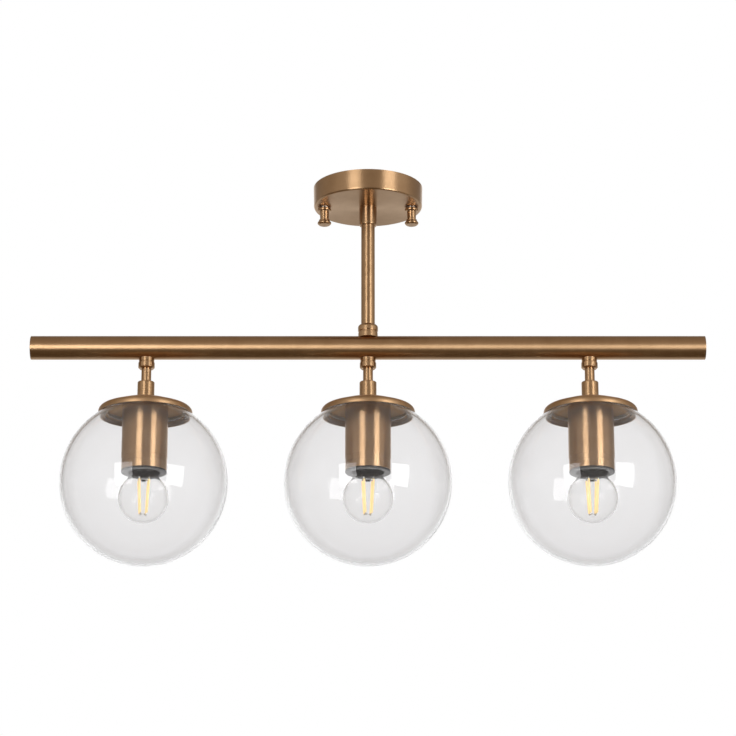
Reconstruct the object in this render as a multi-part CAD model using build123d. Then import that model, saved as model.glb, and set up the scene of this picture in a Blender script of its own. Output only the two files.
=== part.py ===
from build123d import *
import math
import os

# Ceiling light with three clear glass globes under one straight bar, in millimetres.
# Origin: centre of the canopy at the ceiling. +Z points up, the bar lies along X.

# Ceiling fixing
crossbar_length = 90.0
crossbar_width = 16.0
crossbar_thickness = 1.8
slot_spacing = 48.0
slot_length = 18.0
slot_width = 4.5
stud_spacing = 80.0
stud_diameter = 4.0
stud_length = 29.3
stud_nut_across_flats = 7.0
stud_nut_height = 3.2
earth_screw_offset = 10.0
earth_head_diameter = 7.6
earth_head_height = 2.6
lug_thickness = 0.8
lug_tail_width = 4.0
lug_tail_length = 4.0
crimp_diameter = 2.8
crimp_length = 5.0
earth_loop_reach = 5.6
earth_loop_bend = 5.5
earth_ring_diameter = 7.6
stem_ring_diameter = 15.0

# Canopy and its knobs
canopy_diameter = 100.0
canopy_depth = 19.0
canopy_wall = 1.2
canopy_taper = 0.4
canopy_edge_radius = 1.6
knob_length = 16.6
knob_bead_diameter = 12.5
knob_bead_height = 3.5
knob_neck_diameter = 8.5
knob_neck_length = 8.4
knob_neck_taper = 0.3
knob_ring_diameter = 10.0
knob_ring_height = 1.0
knob_flange_diameter = 12.5
knob_flange_rise = 1.4
knob_end_height = 1.2
knob_edge_radius = 0.9
knob_washer_diameter = 9.6
knob_washer_thickness = 0.6
knob_bore_spare = 1.2

# Stem
stem_diameter = 12.5
stem_wall = 1.0
stem_collar_length = 17.5
stem_collar_diameter = 16.0
stem_socket_depth = 9.0
stem_collar_edge = 0.8
foot_height = 11.0
foot_bead_diameter = 18.2
foot_bead_height = 6.4
foot_waist_diameter = 16.6
foot_ring_diameter = 17.8
foot_waist_height = 1.2
foot_bead_rounding = 2.8
foot_waist_rounding = 0.7
foot_ring_rounding = 0.5
foot_skirt = 1.2
stem_nut_height = 3.5
stem_washer_diameter = 22.0
stem_washer_thickness = 1.2
nipple_diameter = 10.0
nipple_bore = 7.5
nipple_nut_across_flats = 14.0
nipple_proud = 0.7

# Bar
bar_axis_depth = 154.0
bar_length = 610.0
bar_diameter = 21.5
bar_wall = 1.2
bar_cap_flange = 1.5
bar_cap_plug = 8.0
bar_cap_bore = 15.0
bar_cap_edge_radius = 0.5
bush_diameter = 13.0
bush_reach = 3.4
drop_spacing = 200.0

# One drop, from the bar down to the lamp
collar_length = 9.25
collar_ring_diameter = 13.9
collar_groove_diameter = 13.0
collar_groove_width = 1.0
collar_bead_diameter = 14.9
collar_bead_height = 5.8
collar_chamfer = 1.2
collar_rounding = 0.4
collar_skirt = 0.8
rod_diameter = 9.0
rod_wall = 1.0
rod_visible_length = 12.4
rod_socket_depth = 5.0
coupling_diameter = 15.4
coupling_length = 18.2
coupling_edge_radius = 0.9
coupling_thread_depth = 10.0
saucer_neck_margin = 2.95
saucer_wall = 1.0
saucer_hub_margin = 1.35
saucer_slope = 19.5
saucer_edge_radius = 4.6
cup_diameter = 41.3
cup_wall = 1.0
cup_length = 64.0
cup_top_radius = 2.5
cup_band_height = 12.3
cup_band_step = 0.35
cup_groove_height = 6.6
cup_groove_width = 0.8
cup_inner_radius = 1.5

# Glass globe
globe_diameter = 150.0
globe_wall = 2.5
globe_neck_diameter = 76.6
globe_neck_height = 2.1
globe_neck_blend = 1.0
globe_rim_radius = 0.8
gasket_thickness = 2.0
gasket_width = 3.4

# Lamp holder
holder_nut_height = 4.0
holder_boss_diameter = 16.0
holder_boss_length = 10.0
holder_shoulder_height = 5.0
holder_roof_thickness = 3.0
holder_chamber_diameter = 31.0
holder_floor_depth = 32.4
holder_floor_thickness = 3.0
holder_bore_diameter = 28.8
holder_rim_height = 1.6
holder_rim_inset = 0.25
shell_wall = 0.6
shell_length = 26.0
shell_flange_bore = 17.4
contact_diameter = 9.0
contact_pin_diameter = 3.0
contact_tip_diameter = 4.0
contact_strip_thickness = 1.0
terminal_offset = 8.7
terminal_width = 4.0
terminal_thickness = 1.2
terminal_height = 3.5

# Lamp
bulb_diameter = 45.0
bulb_length = 77.5
bulb_glass_wall = 0.9
bulb_shoulder_diameter = 34.0
bulb_neck_diameter = 23.8
bulb_neck_blend = 6.0
bulb_base_diameter = 26.2
bulb_base_wall = 0.4
bulb_base_length = 27.0
bulb_thread_length = 20.0
bulb_base_shoulder = 2.0
bulb_base_opening = 20.6
bulb_contact_diameter = 9.6
bulb_contact_height = 0.8
bulb_glass_in_base = 4.0
filament_count = 4
filament_diameter = 2.0
filament_length = 34.0
filament_top_above_centre = 18.5
filament_top_radius = 6.3
filament_bottom_radius = 4.0
filament_first_angle = 55.0
filament_wire_diameter = 0.7
filament_wire_drop = 0.9
glass_stem_diameter = 5.2
glass_stem_length = 16.5
glass_stem_flare = 1.0
glass_stem_funnel = 6.0
glass_rod_diameter = 2.4
glass_rod_past_filaments = 1.5

# Leads and their connectors
lead_diameter = 2.0
lead_pitch = 2.3
lead_bar_bend = 6.0
lead_canopy_bend = 4.0
lead_terminal_bend = 3.5
lead_fan_drop = 2.9
lead_fan_end = 2.6
lead_exit_depth = 8.5
lead_splay_start = 6.6
lead_splay_end = 15.5
lead_splay_bend = 4.0
connector_length = 17.0
connector_width = 19.0
connector_height = 8.0
connector_edge_radius = 0.8
connector_offset = 29.0
connector_port_pitch = 5.6
connector_port_depth = 8.0
lever_length = 9.0
lever_width = 4.6
lever_thickness = 1.4

# Clearances
thread_gap = 0.05
slip_gap = 0.05
running_gap = 0.04
hole_gap = 0.2
seat_gap = 0.2
face_gap = 0.05
holder_gap = 0.35
lip_gap = 0.35

# Radii and heights that follow from the sizes above
stud_radius = stud_diameter / 2
nipple_radius = nipple_diameter / 2
bore_radius = nipple_bore / 2
canopy_radius = canopy_diameter / 2
canopy_face = -canopy_depth
canopy_floor = canopy_face + canopy_wall
stem_washer_top = canopy_floor + stem_washer_thickness
stem_nut_low = stem_washer_top + lug_thickness
stem_nut_top = stem_nut_low + stem_nut_height
stem_collar_end = canopy_face - stem_collar_length
stem_top = canopy_face - stem_socket_depth
bar_axis = -bar_axis_depth
bar_radius = bar_diameter / 2
bar_bore_radius = bar_radius - bar_wall
bar_crown = bar_axis + bar_radius
bar_keel = bar_axis - bar_radius
bush_height = bar_bore_radius - bush_reach
foot_top = bar_crown + foot_height
drop_collar_end = bar_keel - collar_length
coupling_top = drop_collar_end - rod_visible_length
coupling_end = coupling_top - coupling_length
cup_top = coupling_end - saucer_wall
cup_radius = cup_diameter / 2
cup_mouth = cup_top - cup_length
nipple_top = coupling_end + coupling_thread_depth
holder_nut_top = cup_top - cup_wall
holder_top = holder_nut_top - holder_nut_height
boss_end = holder_top - holder_boss_length
chamber_top = boss_end - holder_roof_thickness
nipple_end = boss_end - holder_roof_thickness / 2
holder_radius = cup_radius - cup_wall - holder_gap
floor_end = cup_top - holder_floor_depth
floor_top = floor_end + holder_floor_thickness
terminal_top = floor_top + terminal_height
contact_face = floor_end - 2 * shell_wall
bulb_top = contact_face - seat_gap
bulb_centre = bulb_top - bulb_length + bulb_diameter / 2
bulb_base_end = bulb_top - bulb_base_length
globe_radius = globe_diameter / 2
neck_radius = globe_neck_diameter / 2
saucer_radius = neck_radius + saucer_neck_margin + saucer_wall
saucer_hub_radius = cup_radius + saucer_hub_margin
saucer_flat_radius = cup_radius - cup_top_radius + seat_gap
slope_tangent = math.tan(math.radians(saucer_slope))
slope_cosine = math.cos(math.radians(saucer_slope))
drop_places = {"left": -drop_spacing, "centre": 0.0, "right": drop_spacing}


def saucer_underside(radius):
    """Height of the saucer's sloping underside at a radius outside its hub."""
    return coupling_end - (radius - saucer_hub_radius) * slope_tangent - saucer_wall / slope_cosine


gasket_radius = neck_radius - globe_wall / 2
gasket_low = saucer_underside(gasket_radius) - gasket_thickness
neck_top = gasket_low - seat_gap
neck_foot = neck_top - globe_neck_height
globe_centre = neck_foot - math.sqrt(globe_radius**2 - neck_radius**2)
lip_radius = saucer_radius - saucer_wall
lip_low = globe_centre + math.sqrt(globe_radius**2 - lip_radius**2) + lip_gap


def turned(*corners):
    """Solid of revolution about Z from (radius, height) corners, each with an optional rounding."""
    points = [(corner[0], corner[1]) for corner in corners]
    roundings = [corner[2] if len(corner) > 2 else 0 for corner in corners]
    outline = FilletPolyline(*points, radius=roundings, close=True)
    return revolve(Plane.XZ * make_face(outline), Axis.Z)


def post(radius, low, high, x=0.0, y=0.0):
    """Upright round solid between two heights."""
    return Pos(x, y, (low + high) / 2) * Cylinder(radius, high - low)


def tube(outer_radius, inner_radius, low, high):
    """Upright round tube between two heights."""
    return post(outer_radius, low, high) - post(inner_radius, low, high)


def block(x_limits, y_limits, z_limits):
    """Square-edged solid between three pairs of limits."""
    limits = (x_limits, y_limits, z_limits)
    sizes = [high - low for low, high in limits]
    middle = [(low + high) / 2 for low, high in limits]
    return Pos(*middle) * Box(*sizes)


def hexagon_nut(across_flats, hole_radius, low, high):
    """Hexagon nut with its corners eased at both ends."""
    corner_radius = across_flats / math.sqrt(3)
    ease = corner_radius - across_flats / 2
    barrel = turned(
        (0, low),
        (across_flats / 2, low),
        (corner_radius, low + ease / 2),
        (corner_radius, high - ease / 2),
        (across_flats / 2, high),
        (0, high),
    )
    prism = extrude(Plane.XY.offset(low) * RegularPolygon(corner_radius, 6), high - low)
    return (prism & barrel) - post(hole_radius, low, high)


def round_wire(points, bends, diameter):
    """Round wire along straight runs that tangent arcs join."""
    path = FilletPolyline(*points, radius=bends)
    section = Plane(path @ 0, z_dir=path % 0) * Circle(diameter / 2)
    return sweep(section, path=path)


def rod_between(start, end, radius):
    """Straight round rod from one point to another."""
    run = Vector(*end) - Vector(*start)
    middle = Vector(*start) + run / 2
    return Plane(middle, z_dir=run) * Cylinder(radius, run.length)


def arc_about(centre_height, radius, start_radius, end_radius):
    """Arc of a circle on the axis, up from its lowest side to a point above its centre."""
    start = (start_radius, centre_height - math.sqrt(radius**2 - start_radius**2))
    end = (end_radius, centre_height + math.sqrt(radius**2 - end_radius**2))
    return ThreePointArc(start, (radius, centre_height), end)


def bar_envelope(radius):
    """Solid cylinder along the bar's axis."""
    return Pos(0, 0, bar_axis) * Rot(0, 90, 0) * Cylinder(radius, bar_length)


def on_drops(piece):
    """One copy of a piece for each drop, moved from the centre along the bar."""
    return [Pos(place, 0, 0) * piece for place in drop_places.values()]


def on_studs(piece):
    """One copy of a piece for each stud."""
    return [Pos(side * stud_spacing / 2, 0, 0) * piece for side in (-1, 1)]


def make_crossbar():
    """Flat strap with round ends, two screw slots and three threaded holes."""
    outline = SlotOverall(crossbar_length, crossbar_width)
    for side in (-1, 1):
        outline -= Pos(side * slot_spacing / 2, 0) * SlotOverall(slot_length, slot_width)
        outline -= Pos(side * stud_spacing / 2, 0) * Circle(stud_radius + thread_gap)
    outline -= Pos(earth_screw_offset, 0) * Circle(stud_radius + thread_gap)
    return extrude(outline, -crossbar_thickness)


def make_crossbar_studs():
    """Two threaded studs that hang from the strap and carry the canopy."""
    return on_studs(post(stud_radius, -stud_length, 0))


def make_stud_nuts():
    """Nuts that lock the studs under the strap."""
    low = -crossbar_thickness - stud_nut_height
    return on_studs(hexagon_nut(stud_nut_across_flats, stud_radius + thread_gap, low, -crossbar_thickness))


def make_earth_screw():
    """Screw with a low domed head that clamps the earth lug to the strap."""
    head_top = -crossbar_thickness - lug_thickness
    head_low = head_top - earth_head_height
    head = turned(
        (0, head_low),
        (earth_head_diameter / 2, head_low, earth_head_height / 2),
        (earth_head_diameter / 2, head_top),
        (0, head_top),
    )
    return Pos(earth_screw_offset, 0, 0) * (head + post(stud_radius, head_top, 0))


def ring_lug(ring_diameter, hole_radius, low, barrel_height):
    """Ring lug with a flat tail and the barrel that grips the wire, pointing along +X."""
    tail_end = ring_diameter / 2 + lug_tail_length
    barrel_end = tail_end + crimp_length
    ring = post(ring_diameter / 2, low, low + lug_thickness)
    tail_limits = ((0, tail_end + crimp_diameter / 2), (-lug_tail_width / 2, lug_tail_width / 2))
    tail = block(*tail_limits, (low, low + lug_thickness))
    barrel = rod_between((tail_end, 0, barrel_height), (barrel_end, 0, barrel_height), crimp_diameter / 2)
    return ring + tail + barrel - post(hole_radius, low, low + lug_thickness)


def make_earth_lead():
    """Short earth wire from the strap's screw to the ring under the stem's nut."""
    upper_low = -crossbar_thickness - lug_thickness
    upper_wire = -crossbar_thickness - crimp_diameter / 2 - face_gap
    lower_wire = stem_washer_top + crimp_diameter / 2 + hole_gap
    upper_lug = ring_lug(earth_ring_diameter, stud_radius + hole_gap, upper_low, upper_wire)
    lower_lug = ring_lug(stem_ring_diameter, nipple_radius + hole_gap, stem_washer_top, lower_wire)
    upper_end = earth_screw_offset + earth_ring_diameter / 2 + lug_tail_length + crimp_length
    lower_end = stem_ring_diameter / 2 + lug_tail_length + crimp_length
    loop_end = upper_end + earth_loop_reach
    loop = round_wire(
        [(upper_end, 0, upper_wire), (loop_end, 0, upper_wire), (loop_end, 0, lower_wire), (lower_end, 0, lower_wire)],
        [earth_loop_bend, earth_loop_bend],
        lead_diameter,
    )
    return [Pos(earth_screw_offset, 0, 0) * upper_lug, loop, lower_lug]


def make_wire_connectors():
    """Two three-way lever connectors on the canopy's floor, with their levers closed."""
    top = canopy_floor + connector_height
    port_height = canopy_floor + connector_height / 2
    inner_face = connector_offset - connector_length / 2
    outer_face = connector_offset + connector_length / 2
    lever_end = outer_face - lever_length
    body = Pos(0, connector_offset, port_height) * Box(connector_width, connector_length, connector_height)
    body = fillet(body.edges(), connector_edge_radius)
    levers = []
    for place in (-connector_port_pitch, 0, connector_port_pitch):
        port_end = (place, inner_face + connector_port_depth, port_height)
        body -= rod_between((place, inner_face, port_height), port_end, lead_diameter / 2 + hole_gap)
        half = lever_width / 2
        pocket = (place - half - slip_gap, place + half + slip_gap)
        body -= block(pocket, (lever_end - slip_gap, outer_face), (top - lever_thickness - face_gap, top))
        lever_limits = ((place - half, place + half), (lever_end, outer_face - face_gap))
        levers.append(block(*lever_limits, (top - lever_thickness, top)))
    front = [body] + levers
    return front + [Rot(0, 0, 180) * piece for piece in front]


def make_canopy():
    """Drawn round cup with a slightly tapered side, pierced for the stem and the two studs."""
    face_radius = canopy_radius - canopy_taper
    hole_radius = nipple_radius + hole_gap
    cup = turned(
        (hole_radius, canopy_face),
        (face_radius, canopy_face, canopy_edge_radius),
        (canopy_radius, 0),
        (canopy_radius - canopy_wall, 0),
        (face_radius - canopy_wall, canopy_floor, canopy_edge_radius - canopy_wall / 2),
        (hole_radius, canopy_floor),
    )
    for side in (-1, 1):
        cup -= post(stud_radius + hole_gap, canopy_face, canopy_floor, side * stud_spacing / 2)
    return cup


def make_knob_washer():
    """Thin washer between the canopy and a knob."""
    top = canopy_face - face_gap
    return tube(knob_washer_diameter / 2, stud_radius + hole_gap, top - knob_washer_thickness, top)


def make_knob():
    """Turned cap nut: bead, waisted neck, ring and domed flange, with a blind bore for the stud."""
    top = canopy_face - knob_washer_thickness - 2 * face_gap
    bead_end = canopy_face - knob_bead_height
    neck_end = bead_end - knob_neck_length
    ring_end = neck_end - knob_ring_height
    end = canopy_face - knob_length
    neck_radius_low = knob_neck_diameter / 2 - knob_neck_taper
    bead_radius = knob_bead_diameter / 2
    ring_radius = knob_ring_diameter / 2
    flange_radius = knob_flange_diameter / 2
    knob = turned(
        (0, top),
        (bead_radius, top, knob_edge_radius),
        (bead_radius, bead_end, knob_edge_radius),
        (knob_neck_diameter / 2, bead_end, knob_edge_radius / 2),
        (neck_radius_low, neck_end),
        (ring_radius, neck_end),
        (ring_radius, ring_end),
        (flange_radius, ring_end - knob_flange_rise, knob_edge_radius / 2),
        (flange_radius, end + knob_end_height, knob_edge_radius / 2),
        (ring_radius, end, knob_edge_radius),
        (0, end),
    )
    return knob - post(stud_radius + running_gap, -stud_length - knob_bore_spare, top)


def make_stem_nut():
    """Nut that pulls the stem's collar against the canopy."""
    return hexagon_nut(nipple_nut_across_flats, nipple_radius + thread_gap, stem_nut_low, stem_nut_top)


def make_stem_washer():
    """Wide washer that spreads the nut's load over the canopy's floor."""
    return tube(stem_washer_diameter / 2, nipple_radius + hole_gap, canopy_floor, stem_washer_top)


def make_stem_nipple():
    """Hollow threaded nipple that joins the canopy to the stem's collar."""
    return tube(nipple_radius, bore_radius, stem_top + seat_gap, stem_nut_top + nipple_proud)


def make_stem_collar_top():
    """Plain collar under the canopy, threaded above and bored for the tube below."""
    radius = stem_collar_diameter / 2
    socket = stem_diameter / 2 + slip_gap
    return turned(
        (nipple_radius + thread_gap, canopy_face),
        (radius, canopy_face),
        (radius, stem_collar_end, stem_collar_edge),
        (socket, stem_collar_end),
        (socket, stem_top),
        (nipple_radius + thread_gap, stem_top),
    )


def make_stem_tube():
    """Round tube from the upper collar down into the foot."""
    low = foot_top - stem_socket_depth + face_gap
    return tube(stem_diameter / 2, stem_diameter / 2 - stem_wall, low, stem_top - face_gap)


def make_stem_collar_bottom():
    """Turned foot: rounded bead, waist and ring cut to the bar, with a threaded spigot into the bar."""
    bead_end = foot_top - foot_bead_height
    waist_end = bead_end - foot_waist_height
    bead_radius = foot_bead_diameter / 2
    ring_radius = foot_ring_diameter / 2
    waist_radius = foot_waist_diameter / 2
    foot = turned(
        (0, foot_top),
        (bead_radius, foot_top, foot_bead_rounding),
        (bead_radius, bead_end, foot_waist_rounding),
        (waist_radius, bead_end),
        (waist_radius, waist_end),
        (ring_radius, waist_end, foot_ring_rounding),
        (ring_radius, bar_crown - foot_skirt),
        (0, bar_crown - foot_skirt),
    )
    foot -= bar_envelope(bar_radius + face_gap)
    foot += post(nipple_radius, bar_axis + bush_height, foot_top - stem_socket_depth)
    foot -= post(stem_diameter / 2 + slip_gap, foot_top - stem_socket_depth, foot_top)
    return foot - post(bore_radius, bar_axis + bush_height, foot_top)


def make_bar_tube():
    """Straight tube with a hole above for the stem and three below for the drops."""
    length = bar_length - 2 * bar_cap_flange
    outline = Circle(bar_radius) - Circle(bar_bore_radius)
    bar = Pos(0, 0, bar_axis) * Rot(0, 90, 0) * extrude(outline, length / 2, both=True)
    hole_radius = nipple_radius + hole_gap
    bar -= post(hole_radius, bar_axis, bar_crown)
    for place in drop_places.values():
        bar -= post(hole_radius, bar_keel, bar_axis, place)
    return bar


def make_bar_cap(side):
    """End cap: a thin turned flange on a hollow plug that slides into the tube."""
    plug_radius = bar_bore_radius - slip_gap
    cap = turned(
        (0, 0),
        (bar_radius, 0, bar_cap_edge_radius),
        (bar_radius, bar_cap_flange),
        (plug_radius, bar_cap_flange),
        (plug_radius, bar_cap_flange + bar_cap_plug),
        (bar_cap_bore / 2, bar_cap_flange + bar_cap_plug),
        (bar_cap_bore / 2, bar_cap_flange),
        (0, bar_cap_flange),
    )
    return Pos(side * bar_length / 2, 0, bar_axis) * Rot(0, -side * 90, 0) * cap


def make_bar_bushes():
    """Threaded bushes inside the bar: one for the stem above and three for the drops below."""
    bush = tube(bush_diameter / 2, nipple_radius + thread_gap, bush_height, bar_radius)
    upper = (Pos(0, 0, bar_axis) * bush) & bar_envelope(bar_bore_radius - face_gap)
    lower = (Pos(0, 0, bar_axis) * Rot(180, 0, 0) * bush) & bar_envelope(bar_bore_radius - face_gap)
    return [upper] + on_drops(lower)


def make_drop_collar():
    """Small turned collar cut to the bar: ring, groove and chamfered bead, with a spigot above."""
    bead_top = drop_collar_end + collar_bead_height
    ring_low = bead_top + collar_groove_width
    ring_radius = collar_ring_diameter / 2
    bead_radius = collar_bead_diameter / 2
    collar = turned(
        (0, bar_keel + collar_skirt),
        (ring_radius, bar_keel + collar_skirt),
        (ring_radius, ring_low, collar_rounding),
        (collar_groove_diameter / 2, ring_low),
        (collar_groove_diameter / 2, bead_top),
        (bead_radius, bead_top, collar_rounding),
        (bead_radius, drop_collar_end + collar_chamfer),
        (bead_radius - collar_chamfer, drop_collar_end),
        (0, drop_collar_end),
    )
    socket_top = drop_collar_end + rod_socket_depth
    collar -= bar_envelope(bar_radius + face_gap)
    collar += post(nipple_radius, socket_top, bar_axis - bush_height)
    collar -= post(rod_diameter / 2 + slip_gap, drop_collar_end, socket_top)
    return collar - post(bore_radius, drop_collar_end, bar_axis - bush_height)


def make_drop_rod():
    """Short thin tube between the collar and the coupling."""
    low = coupling_top - rod_socket_depth + face_gap
    high = drop_collar_end + rod_socket_depth - face_gap
    return tube(rod_diameter / 2, rod_diameter / 2 - rod_wall, low, high)


def make_drop_coupling():
    """Turned coupling, bored for the rod above and threaded for the lamp's nipple below."""
    radius = coupling_diameter / 2
    socket = rod_diameter / 2 + slip_gap
    thread = nipple_radius + thread_gap
    socket_low = coupling_top - rod_socket_depth
    return turned(
        (socket, coupling_top),
        (radius, coupling_top, coupling_edge_radius),
        (radius, coupling_end),
        (thread, coupling_end),
        (thread, nipple_top),
        (bore_radius, nipple_top),
        (bore_radius, socket_low),
        (socket, socket_low),
    )


def make_globe_cap():
    """Spun metal saucer over the globe's neck: flat hub, shallow slope and a short upright lip."""
    hole_radius = nipple_radius + hole_gap
    half_slope_tangent = math.tan(math.radians(saucer_slope / 2))
    fall = (saucer_radius - saucer_hub_radius) * slope_tangent
    inner_hub_radius = saucer_hub_radius - saucer_wall * half_slope_tangent
    inner_dome = (inner_hub_radius - saucer_flat_radius) / half_slope_tangent
    return turned(
        (hole_radius, coupling_end),
        (saucer_hub_radius, coupling_end, inner_dome + saucer_wall),
        (saucer_radius, coupling_end - fall, saucer_edge_radius),
        (saucer_radius, lip_low),
        (lip_radius, lip_low),
        (lip_radius, saucer_underside(lip_radius), saucer_edge_radius - saucer_wall),
        (inner_hub_radius, cup_top, inner_dome),
        (hole_radius, cup_top),
    )


def make_globe_gaskets():
    """Soft rings between the globes' necks and the saucers."""
    inner = gasket_radius - gasket_width / 2
    outer = gasket_radius + gasket_width / 2
    ring = turned(
        (inner, gasket_low),
        (outer, gasket_low),
        (outer, saucer_underside(outer) - face_gap),
        (inner, saucer_underside(inner) - face_gap),
    )
    return on_drops(ring)


def make_globe():
    """Clear glass ball, open above at a short upright neck with a rounded rim."""
    outlines = []
    for inset in (0, globe_wall):
        ball = globe_radius - inset
        neck = neck_radius - inset
        foot = globe_centre + math.sqrt(ball**2 - neck**2)
        outline = [arc_about(globe_centre, ball, 0, neck), Line((neck, foot), (neck, neck_top))]
        outlines += outline
    rim = Line((neck_radius, neck_top), (neck_radius - globe_wall, neck_top))
    pole = Line((0, globe_centre - globe_radius), (0, globe_centre - globe_radius + globe_wall))
    section = make_face(outlines + [rim, pole])
    corners = section.vertices().filter_by_position(Axis.X, globe_wall, globe_radius)
    section = fillet(corners.group_by(Axis.Y)[-1], globe_rim_radius)
    corners = section.vertices().filter_by_position(Axis.Y, globe_centre, neck_foot + globe_rim_radius)
    section = fillet(corners.filter_by_position(Axis.X, globe_wall, globe_radius), globe_neck_blend)
    return revolve(Plane.XZ * section, Axis.Z)


def make_socket_cup():
    """Drawn cup round the lamp holder, with a fine step and a groove near its mouth."""
    band_radius = cup_radius - cup_band_step
    groove_radius = band_radius - cup_band_step
    step = cup_mouth + cup_band_height
    groove_low = cup_mouth + cup_groove_height
    groove_top = groove_low + cup_groove_width
    inner_radius = cup_radius - cup_wall
    hole_radius = nipple_radius + hole_gap
    return turned(
        (hole_radius, cup_top),
        (cup_radius, cup_top, cup_top_radius),
        (cup_radius, step),
        (band_radius, step),
        (band_radius, groove_top),
        (groove_radius, groove_top),
        (groove_radius, groove_low),
        (band_radius, groove_low),
        (band_radius, cup_mouth),
        (inner_radius, cup_mouth),
        (inner_radius, cup_top - cup_wall, cup_inner_radius),
        (hole_radius, cup_top - cup_wall),
    )


def make_holder_nipples():
    """Hollow nipples that run from the couplings down into the lamp holders."""
    return on_drops(tube(nipple_radius, bore_radius, nipple_end, nipple_top - face_gap))


def make_holder_nuts():
    """Nuts that clamp the cups and saucers against the couplings."""
    nut = hexagon_nut(nipple_nut_across_flats, nipple_radius + thread_gap, holder_top, holder_nut_top)
    return on_drops(nut)


def make_lampholder():
    """Moulded holder: threaded boss, shoulder, wiring chamber, contact floor and deep screw well."""
    thread = nipple_radius + thread_gap
    boss_radius = holder_boss_diameter / 2
    chamber_radius = holder_chamber_diameter / 2
    well_radius = holder_bore_diameter / 2
    rim_radius = cup_radius - holder_rim_inset
    rim_end = cup_mouth - holder_rim_height
    slope = holder_shoulder_height / (holder_radius - boss_radius)
    body = turned(
        (0, holder_top),
        (boss_radius, holder_top),
        (boss_radius, boss_end),
        (holder_radius, boss_end - holder_shoulder_height),
        (holder_radius, cup_mouth),
        (rim_radius, cup_mouth),
        (rim_radius, rim_end, holder_rim_height / 2),
        (well_radius, rim_end, holder_rim_height / 2),
        (well_radius, floor_end),
        (0, floor_end),
    )
    chamber = turned(
        (0, chamber_top),
        (boss_radius, chamber_top),
        (chamber_radius, chamber_top - (chamber_radius - boss_radius) * slope),
        (chamber_radius, floor_top),
        (0, floor_top),
    )
    tab_width = terminal_width / 2 + hole_gap
    tab_limits = (-terminal_offset - terminal_thickness - hole_gap, -terminal_offset + hole_gap)
    body -= chamber + post(thread, chamber_top, holder_top)
    body -= block((-tab_width, tab_width), tab_limits, (floor_end, floor_top))
    return body - post(contact_pin_diameter / 2 + thread_gap, floor_end, floor_top)


def make_holder_shells():
    """Screw shells: a metal tube with an inward flange under the floor and a tab up through it."""
    radius = holder_bore_diameter / 2 - slip_gap
    flange_low = floor_end - shell_wall
    shell = turned(
        (shell_flange_bore / 2, floor_end),
        (radius, floor_end),
        (radius, floor_end - shell_length),
        (radius - shell_wall, floor_end - shell_length),
        (radius - shell_wall, flange_low),
        (shell_flange_bore / 2, flange_low),
    )
    half = terminal_width / 2
    tab = block((-half, half), (-terminal_offset - terminal_thickness, -terminal_offset), (flange_low, terminal_top))
    return on_drops(shell + tab)


def make_centre_contacts():
    """Centre contacts: a domed tip and a disc under the floor, a pin through it and a lug above."""
    disc_low = floor_end - shell_wall
    half = terminal_width / 2
    outer = terminal_offset + terminal_thickness
    contact = post(contact_diameter / 2, disc_low, floor_end)
    contact += post(contact_tip_diameter / 2, contact_face, disc_low)
    contact += post(contact_pin_diameter / 2, floor_end, floor_top)
    contact += block((-half, half), (-half, outer), (floor_top, floor_top + contact_strip_thickness))
    contact += block((-half, half), (terminal_offset, outer), (floor_top, terminal_top))
    return on_drops(contact)


def bulb_body(inset, top):
    """Solid bulb of revolution, drawn in by a wall: ball, tangent shoulder, blend and neck."""
    ball = bulb_diameter / 2 - inset
    shoulder = ball * bulb_shoulder_diameter / bulb_diameter
    rise = math.sqrt(ball**2 - shoulder**2)
    neck = bulb_neck_diameter / 2 - inset
    bend = (neck, bulb_centre + rise + (shoulder - neck) * shoulder / rise)
    side = FilletPolyline((shoulder, bulb_centre + rise), bend, (neck, top), radius=bulb_neck_blend + inset)
    closing = Polyline((neck, top), (0, top), (0, bulb_centre - ball))
    outline = [arc_about(bulb_centre, ball, 0, shoulder), side, closing]
    return revolve(Plane.XZ * make_face(outline), Axis.Z)


def make_bulb_glass():
    """Thin clear glass of a golf-ball lamp, open at the end that sits in its base."""
    top = bulb_base_end + bulb_glass_in_base
    return bulb_body(0, top) - bulb_body(bulb_glass_wall, top)


def make_bulb_base():
    """Screw base: thin metal shell, shouldered insulator and the raised centre contact."""
    radius = bulb_base_diameter / 2
    thread_top = bulb_base_end + bulb_thread_length
    return turned(
        (radius - bulb_base_wall, bulb_base_end),
        (radius, bulb_base_end),
        (radius, thread_top),
        (bulb_base_opening / 2, thread_top + bulb_base_shoulder),
        (bulb_contact_diameter / 2, bulb_top - bulb_contact_height),
        (bulb_contact_diameter / 2, bulb_top, bulb_contact_height / 2),
        (0, bulb_top),
        (0, thread_top - bulb_base_wall),
        (radius - bulb_base_wall, thread_top - bulb_base_wall),
    )


def make_bulb_stem():
    """Glass funnel sealed to the neck, with the stem and thin rod that carry the filaments."""
    top = bulb_base_end + bulb_glass_in_base
    rim_radius = bulb_neck_diameter / 2 - bulb_glass_wall - face_gap
    stem_radius = glass_stem_diameter / 2
    stem_low = top - glass_stem_length
    rod_radius = glass_rod_diameter / 2
    rod_low = bulb_centre + filament_top_above_centre - filament_length - glass_rod_past_filaments
    return turned(
        (rim_radius - glass_stem_flare, top),
        (rim_radius, top),
        (rim_radius, top - glass_stem_flare),
        (stem_radius, top - glass_stem_funnel),
        (stem_radius, stem_low, stem_radius / 2),
        (rod_radius, stem_low),
        (rod_radius, rod_low, rod_radius / 2),
        (0, rod_low),
        (0, top - glass_stem_funnel + glass_stem_flare),
    )


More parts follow.
